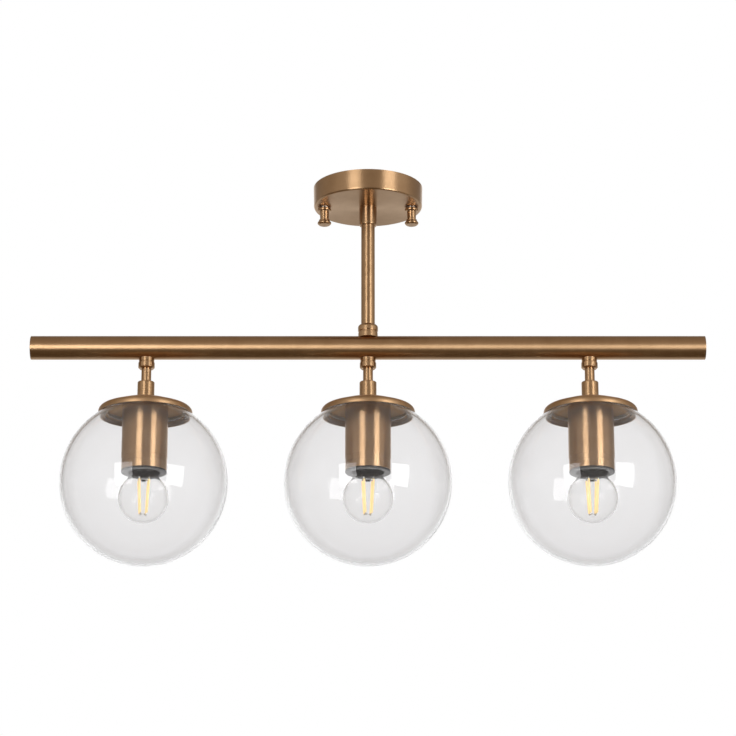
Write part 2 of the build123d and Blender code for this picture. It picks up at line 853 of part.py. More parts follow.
def make_bulb_filaments():
    """Four straight filament sticks, closer together below, each with its two end wires."""
    top = bulb_centre + filament_top_above_centre
    low = top - filament_length
    stem_reach = glass_stem_diameter / 2 + face_gap
    rod_reach = glass_rod_diameter / 2 + face_gap
    sticks = []
    for index in range(filament_count):
        angle = math.radians(filament_first_angle + index * 360 / filament_count)
        along = Vector(math.cos(angle), math.sin(angle), 0)
        upper = along * filament_top_radius + Vector(0, 0, top)
        lower = along * filament_bottom_radius + Vector(0, 0, low)
        stick = rod_between(upper, lower, filament_diameter / 2)
        for height, reach, end in ((-filament_wire_drop, stem_reach, upper), (filament_wire_drop, rod_reach, lower)):
            wire_height = Vector(0, 0, end.Z + height)
            wire_end = along * Vector(end.X, end.Y, 0).length + wire_height
            stick += rod_between(along * reach + wire_height, wire_end, filament_wire_diameter / 2)
        sticks.append(stick)
    return sticks


def lead_route(place, stem_side, side):
    """Points and bends of one lead from its lamp holder up to its connector port."""
    near = side * lead_pitch / 2
    terminal = side * (terminal_offset + terminal_thickness / 2)
    in_stem = stem_side * lead_pitch
    port = stem_side * connector_port_pitch
    port_height = canopy_floor + connector_height / 2
    port_end = connector_offset - connector_length / 2 + connector_port_depth - face_gap
    points = [
        (place, terminal, terminal_top),
        (place, terminal, terminal_top + lead_fan_end),
        (place, near, chamber_top - lead_fan_drop / 2),
    ]
    bends = [lead_terminal_bend, lead_terminal_bend]
    if stem_side:
        points += [(place, near, bar_axis), (in_stem, near, bar_axis)]
        bends += [lead_bar_bend, lead_bar_bend]
    points += [
        (in_stem, near, -lead_exit_depth),
        (in_stem, side * lead_splay_start, -lead_exit_depth),
        (port, side * lead_splay_end, port_height),
        (port, side * port_end, port_height),
    ]
    bends += [lead_canopy_bend, lead_splay_bend, lead_splay_bend]
    return points, bends


def make_lamp_leads():
    """Two leads for each lamp, through drop, bar and stem to the connectors."""
    leads = []
    for stem_side, place in enumerate(drop_places.values(), start=-1):
        for side in (-1, 1):
            leads.append(round_wire(*lead_route(place, stem_side, side), lead_diameter))
    return leads


nodes = {
    "crossbar": make_crossbar(),
    "crossbar_studs": make_crossbar_studs(),
    "stud_nuts": make_stud_nuts(),
    "earth_screw": make_earth_screw(),
    "earth_lead": make_earth_lead(),
    "wire_connectors": make_wire_connectors(),
    "canopy": make_canopy(),
    "stem_nut": make_stem_nut(),
    "stem_washer": make_stem_washer(),
    "stem_nipple": make_stem_nipple(),
    "stem_collar_top": make_stem_collar_top(),
    "stem_tube": make_stem_tube(),
    "stem_collar_bottom": make_stem_collar_bottom(),
    "bar_tube": make_bar_tube(),
    "bar_cap_left": make_bar_cap(-1),
    "bar_cap_right": make_bar_cap(1),
    "bar_bushes": make_bar_bushes(),
    "globe_gaskets": make_globe_gaskets(),
    "holder_nipples": make_holder_nipples(),
    "holder_nuts": make_holder_nuts(),
    "holder_shells": make_holder_shells(),
    "centre_contacts": make_centre_contacts(),
    "lamp_leads": make_lamp_leads(),
}
stud_places = {"left": -stud_spacing / 2, "right": stud_spacing / 2}
for name, place in stud_places.items():
    nodes[f"knob_{name}"] = Pos(place, 0, 0) * make_knob()
    nodes[f"knob_washer_{name}"] = Pos(place, 0, 0) * make_knob_washer()
drop_pieces = {
    "drop_collar": make_drop_collar(),
    "drop_rod": make_drop_rod(),
    "drop_coupling": make_drop_coupling(),
    "globe_cap": make_globe_cap(),
    "globe": make_globe(),
    "socket_cup": make_socket_cup(),
    "lampholder": make_lampholder(),
    "bulb_glass": make_bulb_glass(),
    "bulb_base": make_bulb_base(),
    "bulb_stem": make_bulb_stem(),
    "bulb_filaments": Compound(children=make_bulb_filaments()),
}
for side, place in drop_places.items():
    for name, piece in drop_pieces.items():
        nodes[f"{side}_{name}"] = Pos(place, 0, 0) * piece

os.makedirs("parts", exist_ok=True)
for name, piece in nodes.items():
    solid = Compound(children=piece) if isinstance(piece, list) else piece
    export_step(solid, f"parts/{name}.step")
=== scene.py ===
import math

import bpy
import numpy as np
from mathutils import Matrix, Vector


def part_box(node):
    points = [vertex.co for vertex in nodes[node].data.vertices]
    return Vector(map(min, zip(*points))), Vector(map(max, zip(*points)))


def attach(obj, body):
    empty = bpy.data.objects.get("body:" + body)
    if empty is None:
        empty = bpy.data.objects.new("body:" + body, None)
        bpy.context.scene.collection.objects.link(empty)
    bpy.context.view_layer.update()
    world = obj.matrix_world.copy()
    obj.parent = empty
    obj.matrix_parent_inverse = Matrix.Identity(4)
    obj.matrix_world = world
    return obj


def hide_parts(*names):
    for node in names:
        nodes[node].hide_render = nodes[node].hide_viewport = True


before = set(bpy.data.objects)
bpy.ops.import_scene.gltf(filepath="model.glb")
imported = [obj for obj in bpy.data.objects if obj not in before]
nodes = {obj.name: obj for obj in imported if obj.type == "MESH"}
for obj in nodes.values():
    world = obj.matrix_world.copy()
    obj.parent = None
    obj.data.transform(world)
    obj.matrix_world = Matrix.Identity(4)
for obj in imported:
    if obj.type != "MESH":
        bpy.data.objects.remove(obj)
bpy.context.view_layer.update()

# Viewpoint. The photograph looks up at the hanging light from a little below its globes,
# with the bar square across the picture. The camera was fitted to the canopy and the globes.
VIEW_DISTANCE = 2.54
VIEW_RISE = math.radians(17.4)
VIEW_TARGET = Vector((0.0, 0.0, -0.173))
FOCAL_PIXELS = 2813.3
PICTURE_PIXELS = 736
FILM_WIDTH = 36.0
FARTHEST_VIEW = 60.0

camera_data = bpy.data.cameras.new("photo_view")
camera_data.sensor_width = FILM_WIDTH
camera_data.lens = FILM_WIDTH * FOCAL_PIXELS / PICTURE_PIXELS
camera_data.clip_end = FARTHEST_VIEW
camera = bpy.data.objects.new("photo_view", camera_data)
bpy.context.scene.collection.objects.link(camera)
sight_line = Vector((0.0, math.cos(VIEW_RISE), math.sin(VIEW_RISE)))
camera.location = VIEW_TARGET - sight_line * VIEW_DISTANCE
camera.rotation_euler = (math.radians(90.0) + VIEW_RISE, 0.0, 0.0)
bpy.context.scene.camera = camera
bpy.context.scene.view_settings.view_transform = "Standard"

# Softboxes. Two square ones stand at the light's own height, left and right of the camera.
# They leave two bright stripes down every turned piece and two windows in every globe.
SOFTBOX_DISTANCE = 2.2
SOFTBOXES = {
    "softbox_left": {"turn": -27.5, "rise": -4.5, "width": 24.0, "height": 28.0, "radiance": 6.3},
    "softbox_right": {"turn": 44.5, "rise": -4.0, "width": 25.0, "height": 28.0, "radiance": 6.9},
}


def aim(turn, rise):
    """Unit vector from the light: turn degrees round from the camera's side, rise degrees up."""
    turn, rise = math.radians(turn), math.radians(rise)
    level = math.cos(rise)
    return Vector((math.sin(turn) * level, -math.cos(turn) * level, math.sin(rise)))


for name, box in SOFTBOXES.items():
    width = 2 * SOFTBOX_DISTANCE * math.tan(math.radians(box["width"] / 2))
    height = 2 * SOFTBOX_DISTANCE * math.tan(math.radians(box["height"] / 2))
    lamp_data = bpy.data.lights.new(name, "AREA")
    lamp_data.shape = "RECTANGLE"
    lamp_data.size = width
    lamp_data.size_y = height
    lamp_data.energy = box["radiance"] * math.pi * width * height
    lamp = bpy.data.objects.new(name, lamp_data)
    outward = aim(box["turn"], box["rise"])
    lamp.location = VIEW_TARGET + outward * SOFTBOX_DISTANCE
    lamp.rotation_euler = outward.to_track_quat("Z", "Y").to_euler()
    lamp.visible_camera = False
    bpy.context.scene.collection.objects.link(lamp)

# Room: dim warm walls, a little lighter far left and far right, with a pale table top that runs
# back to a white backdrop. Mirror reflections show the room, and the camera sees plain white.

# Each step is (how far up or back, from -1 to 1; colour or grey), and the two ends come first.
ROOM_WALLS = (
    (-1.0, (0.13, 0.095, 0.06)), (1.0, (0.33, 0.285, 0.25)),
    (-0.28, (0.12, 0.087, 0.06)), (-0.12, (0.20, 0.167, 0.14)), (0.0, (0.40, 0.3736, 0.352)),
    (0.2, (0.47, 0.43381, 0.4042)), (0.6, (0.42, 0.3507, 0.294)),
)
WALLS_BY_DEPTH = ((-1.0, 1.0), (1.0, 0.75), (-0.1, 1.0), (0.6, 0.7))
WALL_PATCH_RIGHT = {"turn": 74.0, "rise": 0.0, "inner": 8.0, "outer": 34.0, "level": 0.34}
WALL_PATCH_LEFT = {"turn": -56.0, "rise": 0.0, "inner": 6.0, "outer": 28.0, "level": 0.22}
TABLE_TOP = (0.52, 0.52, 0.53)
TABLE_BY_DEPTH = ((-1.0, 0.0), (1.0, 1.0), (0.15, 0.0), (0.5, 1.0))
TABLE_BY_HEIGHT = ((-1.0, 0.2), (1.0, 0.0), (-0.94, 0.5), (-0.84, 1.0), (-0.3, 1.0), (0.05, 0.0))
BACKDROP_BY_DEPTH = ((-1.0, 0.0), (1.0, 1.0), (0.77, 0.0), (0.91, 1.0))
BACKDROP_BY_HEIGHT = ((-1.0, 0.3), (1.0, 1.0), (-0.5, 0.5), (-0.3, 0.72), (0.0, 1.0))
PLAIN_WHITE = (1.0, 1.0, 1.0, 1.0)


def add(tree, kind, settings=None, **inputs):
    """Adds one node. Settings are its own fields, and inputs are socket values or other sockets
    to join: an input is named as on the node, with _ for a space, or n and its number."""
    node = tree.nodes.new(kind)
    for field, value in (settings or {}).items():
        setattr(node, field, value)
    for label, value in inputs.items():
        numbered = label[0] == "n" and label[1:].isdigit()
        socket = node.inputs[int(label[1:]) if numbered else label.replace("_", " ")]
        if isinstance(value, bpy.types.NodeSocket):
            tree.links.new(value, socket)
        else:
            socket.default_value = value
    return node


def over(tree, share, below, above, blend="MIX"):
    """Lays one colour over another by a share. A colour is a socket, or red, green and blue."""
    below, above = ((*tone, 1.0) if isinstance(tone, tuple) else tone for tone in (below, above))
    layer = add(tree, "ShaderNodeMix", {"data_type": "RGBA", "blend_type": blend},
                n0=share, n6=below, n7=above)
    return layer.outputs[2]


def shades(tree, value, steps):
    """Colour that runs evenly through (value, colour) steps. A bare number is a grey."""
    spread = add(tree, "ShaderNodeMapRange", Value=value, From_Min=-1.0, From_Max=1.0)
    curve = add(tree, "ShaderNodeValToRGB", n0=spread.outputs[0])
    stops = curve.color_ramp.elements
    for number, (place, tone) in enumerate(steps):
        position = (place + 1) / 2
        stop = stops[number] if number < 2 else stops.new(position)
        stop.position = position
        stop.color = (*(tone if isinstance(tone, tuple) else (tone, tone, tone)), 1.0)
    return curve.outputs[0]


def wall_patch(tree, direction, turn, rise, inner, outer, level):
    """Soft round patch of light on the wall: full inside one angle and none past another."""
    facing = add(tree, "ShaderNodeVectorMath", {"operation": "DOT_PRODUCT"},
                 n0=direction, n1=aim(turn, rise))
    patch = add(tree, "ShaderNodeMapRange", {"interpolation_type": "SMOOTHSTEP"},
                Value=facing.outputs["Value"], From_Min=math.cos(math.radians(outer)),
                From_Max=math.cos(math.radians(inner)), To_Max=level)
    return patch.outputs[0]


def open_view(tree):
    """1 for a ray straight from the camera, or from it through clear glass alone, else 0."""
    path = add(tree, "ShaderNodeLightPath")
    through = add(tree, "ShaderNodeMath", {"operation": "SUBTRACT", "use_clamp": True},
                  n0=path.outputs["Is Transmission Ray"], n1=path.outputs["Glossy Depth"])
    clear = add(tree, "ShaderNodeMath", {"operation": "SUBTRACT", "use_clamp": True},
                n0=through.outputs[0], n1=path.outputs["Diffuse Depth"])
    seen = add(tree, "ShaderNodeMath", {"operation": "MAXIMUM"},
               n0=path.outputs["Is Camera Ray"], n1=clear.outputs[0])
    return seen.outputs[0]


room = bpy.data.worlds.new("studio_room")
bpy.context.scene.world = room
room.use_nodes = True
tree = room.node_tree
tree.nodes.clear()
direction = add(tree, "ShaderNodeTexCoord").outputs["Generated"]
parts = add(tree, "ShaderNodeSeparateXYZ", n0=direction)
height, depth = parts.outputs["Z"], parts.outputs["Y"]
patches = add(tree, "ShaderNodeMath", {"operation": "ADD"},
              n0=wall_patch(tree, direction, **WALL_PATCH_RIGHT),
              n1=wall_patch(tree, direction, **WALL_PATCH_LEFT))
walls = over(tree, 1.0, shades(tree, height, ROOM_WALLS), patches.outputs[0], "ADD")
walls = over(tree, 1.0, walls, shades(tree, depth, WALLS_BY_DEPTH), "MULTIPLY")
table = over(tree, 1.0, shades(tree, depth, TABLE_BY_DEPTH),
             shades(tree, height, TABLE_BY_HEIGHT), "MULTIPLY")
with_table = over(tree, table, walls, TABLE_TOP)
whole_room = over(tree, shades(tree, depth, BACKDROP_BY_DEPTH), with_table,
                  shades(tree, height, BACKDROP_BY_HEIGHT))
mirrored_room = add(tree, "ShaderNodeBackground", Color=whole_room, Strength=1.0)
white_view = add(tree, "ShaderNodeBackground", Color=PLAIN_WHITE, Strength=1.0)
either = add(tree, "ShaderNodeMixShader", n0=open_view(tree),
             n1=mirrored_room.outputs[0], n2=white_view.outputs[0])
output = tree.nodes.new("ShaderNodeOutputWorld")
tree.links.new(either.outputs[0], output.inputs[0])

# Floor: a pale painted studio floor well below the light, plain white to the camera.
# Brass mirrors it as a dim floor nearby that turns into the bright sweep farther back.
FLOOR_DEPTH = 3.6
FLOOR_REACH = 4.1
FLOOR_PAINT = ((0.74, 0.74, 0.73), (0.80, 0.80, 0.79))
FLOOR_LIFT = 0.78
FLOOR_IN_BRASS = {"near": (0.13, 0.095, 0.058), "far": (0.66, 0.65, 0.67)}
SWEEP_STARTS, SWEEP_ENDS = 1.9, 3.2


def new_material(name):
    """A node material with nothing in it but its output: the material, its tree and its output."""
    material = bpy.data.materials.new(name)
    material.use_nodes = True
    tree = material.node_tree
    tree.nodes.clear()
    return material, tree, tree.nodes.new("ShaderNodeOutputMaterial")


def grid_mesh(name, grids, close_u=False, close_v=False, caps=False):
    """One mesh of quads over grids of points: point (u, v) joins (u, v + 1), (u + 1, v + 1) and
    (u + 1, v). A grid may be closed along its rows u or columns v, or capped at both ends."""
    points, faces, first = [], [], 0
    for grid in grids:
        rows, columns = grid.shape[:2]
        index = first + np.arange(rows * columns).reshape(rows, columns)
        if caps:
            faces += [index[0, ::-1].tolist(), index[-1].tolist()]
        if close_u:
            index = np.vstack((index, index[:1]))
        if close_v:
            index = np.hstack((index, index[:, :1]))
        quads = (index[:-1, :-1], index[:-1, 1:], index[1:, 1:], index[1:, :-1])
        faces += np.stack(quads, axis=-1).reshape(-1, 4).tolist()
        points += grid.reshape(-1, 3).tolist()
        first += rows * columns
    mesh = bpy.data.meshes.new(name)
    mesh.from_pydata(points, [], faces)
    mesh.update()
    return mesh


def put(name, mesh, material):
    """A shown object at the origin that holds the mesh and its finish."""
    piece = bpy.data.objects.new(name, mesh)
    mesh.materials.append(material)
    bpy.context.scene.collection.objects.link(piece)
    return piece


floor_paint, tree, output = new_material("pale_floor_paint")
coordinates = add(tree, "ShaderNodeTexCoord").outputs["Object"]
grain = add(tree, "ShaderNodeTexNoise", Vector=coordinates, Scale=1.2)
matt = add(tree, "ShaderNodeBsdfDiffuse", Color=over(tree, grain.outputs[0], *FLOOR_PAINT))
seen = open_view(tree)
lift = add(tree, "ShaderNodeMath", {"operation": "MULTIPLY"}, n0=seen, n1=FLOOR_LIFT)
glow = add(tree, "ShaderNodeEmission", Color=PLAIN_WHITE, Strength=lift.outputs[0])
seen_floor = add(tree, "ShaderNodeAddShader", n0=matt.outputs[0], n1=glow.outputs[0])
far = add(tree, "ShaderNodeSeparateXYZ", n0=coordinates).outputs["Y"]
sweep = add(tree, "ShaderNodeMapRange", {"interpolation_type": "SMOOTHSTEP"},
            Value=far, From_Min=SWEEP_STARTS, From_Max=SWEEP_ENDS)
sheen = over(tree, sweep.outputs[0], FLOOR_IN_BRASS["near"], FLOOR_IN_BRASS["far"])
mirrored_floor = add(tree, "ShaderNodeEmission", Color=sheen, Strength=1.0)
glossy = add(tree, "ShaderNodeLightPath").outputs["Is Glossy Ray"]
in_brass = add(tree, "ShaderNodeMath", {"operation": "SUBTRACT", "use_clamp": True},
               n0=glossy, n1=seen)
either = add(tree, "ShaderNodeMixShader", n0=in_brass.outputs[0],
             n1=seen_floor.outputs[0], n2=mirrored_floor.outputs[0])
tree.links.new(either.outputs[0], output.inputs[0])

# The floor is a flat grid: x and y run evenly over its reach, and z stays at its depth.
places = np.linspace(-FLOOR_REACH, FLOOR_REACH, 9)
floor_x, floor_y = np.meshgrid(places, places)
floor_grid = np.stack((floor_x, floor_y, np.full_like(floor_x, -FLOOR_DEPTH)), axis=-1)
put("studio_floor", grid_mesh("studio_floor", [floor_grid]), floor_paint)

# Ceiling fixing: a pressed strap, screwed to the ceiling through its slots, with two threaded
# studs and their lock nuts of zinc plated steel, and a brass screw for the earth lead.
STUD_PITCH, STUD_THREAD = 0.7, 0.43
STUD_RADIUS, STUD_TIP_RADIUS, STUD_TOP_RADIUS, STUD_POINT = 2.0, 1.4, 1.7, 0.6
STUD_PLACES = {"left": -40.0, "right": 40.0}
EDGE_ANGLE = 55.0
MILLIMETRE = 0.001


def plated_steel(name, colour, roughness):
    """Plated metal: faint cloudy passivation over a fine rolled grain."""
    material, tree, output = new_material(name)
    coordinates = add(tree, "ShaderNodeTexCoord").outputs["Object"]
    clouds = add(tree, "ShaderNodeTexNoise", Vector=coordinates, Scale=220.0, Detail=4.0)
    tone = add(tree, "ShaderNodeValToRGB", n0=clouds.outputs[0])
    dull, bright = tone.color_ramp.elements
    dull.position, dull.color = 0.35, (*[part * 0.82 for part in colour], 1.0)
    bright.position, bright.color = 0.65, (*colour, 1.0)
    grain = add(tree, "ShaderNodeTexNoise", Vector=coordinates, Scale=3000.0, Detail=2.0)
    relief = add(tree, "ShaderNodeBump", Strength=0.12, Distance=0.0001, Height=grain.outputs[0])
    metal = add(tree, "ShaderNodeBsdfPrincipled", Base_Color=tone.outputs[0], Metallic=1.0,
                Roughness=roughness, Normal=relief.outputs[0])
    tree.links.new(metal.outputs[0], output.inputs[0])
    return material


def dress(material, *names):
    """Gives these CAD nodes one finish."""
    for name in names:
        mesh = nodes[name].data
        mesh.materials.clear()
        mesh.materials.append(material)


def run(start, end, steps, share=0.0):
    """Stations (radius, height, thread share) in millimetres, in even steps along a straight
    line from one profile point up to, and not including, the next."""
    line = np.linspace(start, end, steps, endpoint=False)
    return np.column_stack((line, np.full(steps, share)))


def turned(stations, around, place_x=0.0, pitch=1.0, depth=0.0):
    """Surface turned round an upright line, with a rounded right-hand thread: at each station
    the radius loses share * depth * (1 - cos(2 pi height / pitch - angle)) / 2. Lengths come
    in millimetres."""
    angle = np.linspace(0.0, 2 * np.pi, around, endpoint=False)[None, :]
    radius, height, share = (column[:, None] for column in stations.T)
    wave = 1 - np.cos(2 * np.pi * height / pitch - angle)
    reach = radius - share * depth * wave / 2
    x, y, z = np.broadcast_arrays(place_x + reach * np.cos(angle), reach * np.sin(angle), height)
    return np.stack((x, y, z), axis=-1) * MILLIMETRE


def soften(mesh):
    """Smooth shading, with an edge kept wherever two faces meet at more than the edge angle."""
    mesh.shade_smooth()
    mesh.set_sharp_from_angle(angle=math.radians(EDGE_ANGLE))
    return mesh


zinc_plate = plated_steel("zinc_plate", (0.66, 0.67, 0.69), roughness=0.34)
plain_brass = plated_steel("plain_brass", (0.80, 0.62, 0.33), roughness=0.3)
dress(zinc_plate, "crossbar", "stud_nuts")
dress(plain_brass, "earth_screw")

for side, place_x in STUD_PLACES.items():
    low, high = (corner[2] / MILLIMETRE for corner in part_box("crossbar_studs"))
    profile = np.vstack((
        run((STUD_TIP_RADIUS, low), (STUD_RADIUS, low + STUD_POINT), 3, 0.3),
        run((STUD_RADIUS, low + STUD_POINT), (STUD_RADIUS, high), 360, 1.0),
        run((STUD_TOP_RADIUS, high), (STUD_TOP_RADIUS, high), 1),
    ))
    grid = turned(profile, 20, place_x, STUD_PITCH, STUD_THREAD)
    mesh = soften(grid_mesh("stud", [grid], close_v=True, caps=True))
    stud = put(f"stud_thread_{side}", mesh, zinc_plate)
    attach(stud, "fixture")
    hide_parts("crossbar_studs")


# Leads and connectors: soft plastic sleeves over stranded wire, brown and blue for the lamps and
# green and yellow for earth, in two lever connectors that lie on the canopy's floor.
def sleeve(name, colour, other, edge, axis):
    """Smooth plastic in one colour below an edge along an axis and in another above it."""
    material, tree, output = new_material(name)
    coordinates = add(tree, "ShaderNodeTexCoord").outputs["Object"]
    place = add(tree, "ShaderNodeSeparateXYZ", n0=coordinates).outputs[axis]
    side = add(tree, "ShaderNodeMapRange", Value=place, From_Min=edge[0], From_Max=edge[1])
    mottle = add(tree, "ShaderNodeTexNoise", Vector=coordinates, Scale=700.0)
    relief = add(tree, "ShaderNodeBump", Strength=0.08, Distance=0.0002, Height=mottle.outputs[0])
    plastic = add(tree, "ShaderNodeBsdfPrincipled", Roughness=0.4, Normal=relief.outputs[0],
                  Base_Color=over(tree, side.outputs[0], colour, other))
    tree.links.new(plastic.outputs[0], output.inputs[0])
    return material


BLUE, BROWN = (0.02, 0.10, 0.42), (0.17, 0.07, 0.03)
GREEN, YELLOW = (0.10, 0.33, 0.06), (0.80, 0.68, 0.05)
CLEAR_GREY, ORANGE_LEVER = (0.62, 0.64, 0.64), (0.85, 0.30, 0.03)
dress(sleeve("lead_sleeve", BLUE, BROWN, (-0.0001, 0.0001), "Y"), "lamp_leads")
dress(sleeve("earth_sleeve", GREEN, YELLOW, (-0.0002, 0.0), "Y"), "earth_lead")
dress(sleeve("connector_shell", CLEAR_GREY, ORANGE_LEVER, (-0.0113, -0.0112), "Z"),
      "wire_connectors")

# Canopy and stem: a drawn brass cup and a round tube between two turned collars, held to the
# cup's face by a hollow threaded nipple with a washer and a nut. The brass that shows is
# browned, brushed round its own axis and lacquered.
BRASS_TONE, BRASS_SHADE = (0.56, 0.365, 0.205), (0.46, 0.29, 0.155)
NIPPLE_PITCH, NIPPLE_THREAD = 1.0, 0.6
NIPPLE_RADIUS, NIPPLE_END, NIPPLE_BORE, NIPPLE_CHAMFER = 5.0, 4.5, 3.75, 0.5


def brushed_brass(name, axis, centre, roughness=0.30, anisotropy=0.85):
    """Browned brass brushed round a line along one axis: the marks follow circles round that
    line, as noise that changes fast with radius and height and slowly round the circle."""
    material, tree, output = new_material(name)
    coordinates = add(tree, "ShaderNodeTexCoord").outputs["Object"]
    line = [float(letter == axis) for letter in "XYZ"]
    offset = add(tree, "ShaderNodeVectorMath", {"operation": "SUBTRACT"},
                 n0=coordinates, n1=centre).outputs[0]
    around = add(tree, "ShaderNodeVectorMath", {"operation": "CROSS_PRODUCT"},
                 n0=line, n1=offset).outputs[0]
    radius = add(tree, "ShaderNodeVectorMath", {"operation": "LENGTH"},
                 n0=around).outputs["Value"]
    place = add(tree, "ShaderNodeVectorMath", {"operation": "DOT_PRODUCT"},
                n0=offset, n1=line).outputs["Value"]
    across = add(tree, "ShaderNodeCombineXYZ", X=radius, Y=place).outputs[0]
    fine = add(tree, "ShaderNodeVectorMath", {"operation": "SCALE"}, n0=across, Scale=5200.0)
    long = add(tree, "ShaderNodeVectorMath", {"operation": "SCALE"}, n0=around, Scale=90.0)
    marks = add(tree, "ShaderNodeVectorMath", {"operation": "ADD"},
                n0=fine.outputs[0], n1=long.outputs[0]).outputs[0]
    strokes = add(tree, "ShaderNodeTexNoise", Vector=marks, Scale=1.0, Detail=3.0)
    patina = add(tree, "ShaderNodeTexNoise", Vector=coordinates, Scale=60.0, Detail=5.0,
                 Roughness=0.6)
    weight = add(tree, "ShaderNodeMath", {"operation": "MULTIPLY_ADD"},
                 n0=strokes.outputs[0], n1=0.6, n2=patina.outputs[0])
    level = add(tree, "ShaderNodeMapRange", Value=weight.outputs[0], From_Min=0.55, From_Max=1.05)
    relief = add(tree, "ShaderNodeBump", Strength=0.10, Distance=0.00005,
                 Height=strokes.outputs[0])
    tangent = add(tree, "ShaderNodeVectorMath", {"operation": "NORMALIZE"}, n0=around).outputs[0]
    metal = add(tree, "ShaderNodeBsdfPrincipled", Metallic=1.0, Roughness=roughness,
                Base_Color=over(tree, level.outputs[0], BRASS_SHADE, BRASS_TONE),
                Anisotropic=anisotropy, Anisotropic_Rotation=0.25,
                Normal=relief.outputs[0], Tangent=tangent)
    tree.links.new(metal.outputs[0], output.inputs[0])
    return material


on_stem = (0.0, 0.0, 0.0)
dress(brushed_brass("canopy_brass", "Z", on_stem), "canopy", "stem_collar_top", "stem_tube")
dress(brushed_brass("foot_brass", "Z", on_stem, roughness=0.24, anisotropy=0.6),
      "stem_collar_bottom")
dress(zinc_plate, "stem_nut", "stem_washer")

low, high = (corner[2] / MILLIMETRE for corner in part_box("stem_nipple"))
profile = np.vstack((
    run((NIPPLE_BORE, high), (NIPPLE_BORE, low), 8),
    run((NIPPLE_BORE, low), (NIPPLE_END, low), 2),
    run((NIPPLE_END, low), (NIPPLE_RADIUS, low + NIPPLE_CHAMFER), 3, 0.5),
    run((NIPPLE_RADIUS, low + NIPPLE_CHAMFER), (NIPPLE_RADIUS, high - NIPPLE_CHAMFER), 150, 1.0),
    run((NIPPLE_RADIUS, high - NIPPLE_CHAMFER), (NIPPLE_END, high), 3, 0.5),
    run((NIPPLE_END, high), (NIPPLE_BORE, high), 2),
))
grid = turned(profile, 32, 0.0, NIPPLE_PITCH, NIPPLE_THREAD)
mesh = soften(grid_mesh("nipple", [grid], close_u=True, close_v=True))
nipple = put("stem_nipple_thread", mesh, zinc_plate)
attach(nipple, "fixture")
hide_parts("stem_nipple")

# Knobs: two spool-shaped brass cap nuts that screw up the studs and hold the canopy to its
# strap, each on a thin plated washer.
for name in ("knob_left", "knob_right"):
    low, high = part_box(name)
    on_stud = ((low[0] + high[0]) / 2, 0.0, 0.0)
    dress(brushed_brass(f"{name}_brass", "Z", on_stud, roughness=0.3, anisotropy=0.7), name)
dress(zinc_plate, "knob_washer_left", "knob_washer_right")

# Bar: a long round brass tube with an end plug pressed into each end, brushed round its length.
# Four threaded bushes are brazed into its wall, one for the stem and three for the drops.
low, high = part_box("bar_tube")
on_bar = (0.0, 0.0, (low[2] + high[2]) / 2)
dress(brushed_brass("bar_brass", "X", on_bar, roughness=0.36, anisotropy=0.7),
      "bar_tube", "bar_cap_left", "bar_cap_right")
dress(plain_brass, "bar_bushes")

# Drops, saucers and cups: small turned pieces under the bar, a spun saucer over each globe and a
# drawn cup round each lamp holder, clamped together on one hollow threaded nipple.
DROP_PLACES = {"left": -0.2, "centre": 0.0, "right": 0.2}
for side, place in DROP_PLACES.items():
    on_drop = (place, 0.0, 0.0)
    small_brass = brushed_brass(f"{side}_small_brass", "Z", on_drop, roughness=0.24, anisotropy=0.6)
    dress(small_brass, f"{side}_drop_collar", f"{side}_drop_rod", f"{side}_drop_coupling")
    saucer_brass = brushed_brass(f"{side}_saucer_brass", "Z", on_drop, roughness=0.46,
                                 anisotropy=0.5)
    dress(saucer_brass, f"{side}_globe_cap")
    dress(brushed_brass(f"{side}_cup_brass", "Z", on_drop), f"{side}_socket_cup")
dress(zinc_plate, "holder_nipples", "holder_nuts")


# Lamp holders: a glossy black heat-proof moulding with a rounded rim under the cup's mouth. A
# rolled brass screw shell and a spring contact sit inside it.
def moulding(name, colour, roughness, glow=0.0):
    """Moulded plastic, rubber or glass with a very fine even skin, and a glow of painted light."""
    material, tree, output = new_material(name)
    coordinates = add(tree, "ShaderNodeTexCoord").outputs["Object"]
    skin = add(tree, "ShaderNodeTexNoise", Vector=coordinates, Scale=1500.0, Detail=2.0)
    tone = over(tree, skin.outputs[0], tuple(part * 0.9 for part in colour),
                tuple(part * 1.1 for part in colour))
    relief = add(tree, "ShaderNodeBump", Strength=0.06, Distance=0.0001, Height=skin.outputs[0])
    body = add(tree, "ShaderNodeBsdfPrincipled", Base_Color=tone, Roughness=roughness,
               Emission_Color=(*colour, 1.0), Emission_Strength=glow, Normal=relief.outputs[0])
    tree.links.new(body.outputs[0], output.inputs[0])
    return material


black_moulding = moulding("black_moulding", (0.006, 0.0055, 0.0055), roughness=0.12)
SCREW_PITCH = 3.629
SHELL_THREAD = 0.6
SHELL_INNER, SHELL_OUTER, SHELL_WALL = 13.75, 14.35, 0.6
SHELL_HOLE, SHELL_LIP, SHELL_SHOULDER = 8.7, 1.5, 3.0
FLOOR_GAP = 1.4
TAB_HALF_WIDTH, TAB_BACK, TAB_FRONT, TAB_TOP = 2.0, -9.9, -8.7, 6.5

